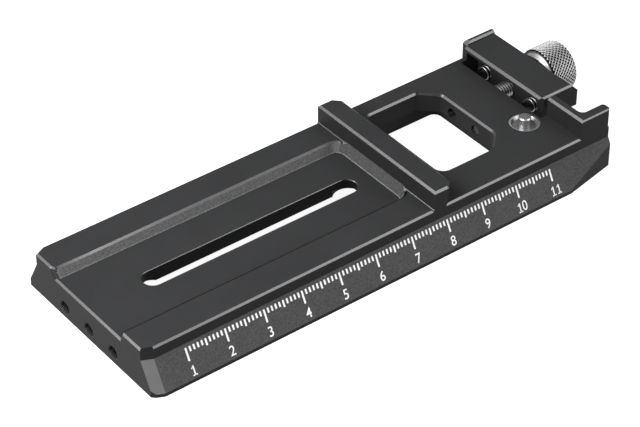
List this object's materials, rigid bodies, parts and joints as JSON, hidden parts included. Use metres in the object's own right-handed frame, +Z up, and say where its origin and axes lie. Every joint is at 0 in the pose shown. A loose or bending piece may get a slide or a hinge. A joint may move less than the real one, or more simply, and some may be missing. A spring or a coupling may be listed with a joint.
{
  "type": "tripod quick release plate",
  "caption": "Long dovetail nodal rail with a ruled side, a slotted pocket and a cross clamp at one end, worked by a knurled screw knob",
  "frame": {"origin": "On the flat underside, under the middle of the overall length and width at rest", "axes": "+X along the rail from its plain end to the knob, +Y away from the ruled side, +Z up"},
  "size_m": [0.1394, 0.049, 0.0155],
  "materials": {
    "anodised_body": "fine bead-blasted dark anodising with bright broken edges",
    "plain_steel": "ground steel",
    "spring_steel": "drawn wire",
    "silver_knob": "clear anodised, diamond knurl",
    "silver_post": "turned stainless steel"
  },
  "bodies": {
    "rail": {"base_plate": "anodised_body", "guide_pin_back": "plain_steel", "guide_pin_front": "plain_steel", "post_bush": "silver_post", "post_plug": "plain_steel", "post_spring": "spring_steel"},
    "jaw": {"clamp_jaw": "anodised_body", "guide_spring_back": "spring_steel", "guide_spring_front": "spring_steel"},
    "knob_and_screw": {"knob": "silver_knob", "clamp_screw": "plain_steel", "thrust_washer": "plain_steel"},
    "post": {"safety_post": "silver_post"}
  },
  "joints": [
    {"name": "jaw_slide", "type": "slide", "parent": "rail", "child": "jaw", "axis": [1, 0, 0], "range_m": [-0.003, 0.001]},
    {"name": "knob_turn", "type": "hinge", "parent": "jaw", "child": "knob_and_screw", "pos_m": [0.0665, 0.0078, 0.0075], "axis": [1, 0, 0], "range_deg": [-1545, 516]},
    {"name": "post_press", "type": "slide", "parent": "rail", "child": "post", "axis": [0, 0, 1], "range_m": [-0.0018, 0], "stiffness_N_per_m": 600, "springref_m": 0.001, "deforming": ["post_spring"]}
  ],
  "couplings": [
    {"joint": "knob_turn", "follows": "jaw_slide", "rad_per_m": 8976}
  ]
}
